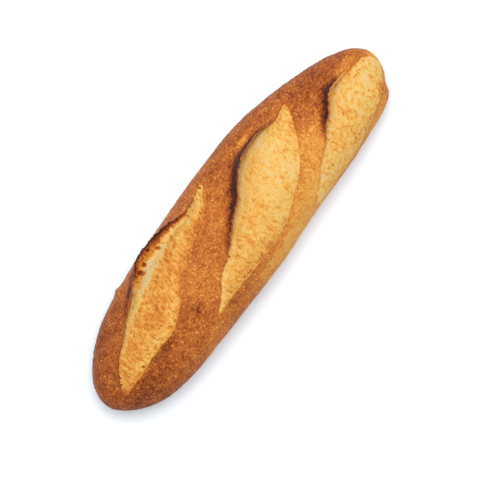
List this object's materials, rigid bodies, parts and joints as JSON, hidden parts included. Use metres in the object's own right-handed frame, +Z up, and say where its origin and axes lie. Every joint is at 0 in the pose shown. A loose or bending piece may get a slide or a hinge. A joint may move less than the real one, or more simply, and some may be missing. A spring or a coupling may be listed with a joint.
{
  "type": "baguette",
  "caption": "Short crusty baguette, slashed on the slant, with raised browned ears over pale torn crumb, lying on its flat base.",
  "frame": {"origin": "the middle of the loaf's bounding box, on the plane it rests on", "axes": "+X along the loaf, from the darker end towards the paler end that its last slash runs off; +Y across it, towards the ears; +Z up"},
  "size_m": [0.26, 0.0724, 0.0558],
  "materials": {
    "crust": "baked, matt to slightly satin"
  },
  "bodies": {
    "root": {"baguette": "crust"}
  },
  "joints": []
}
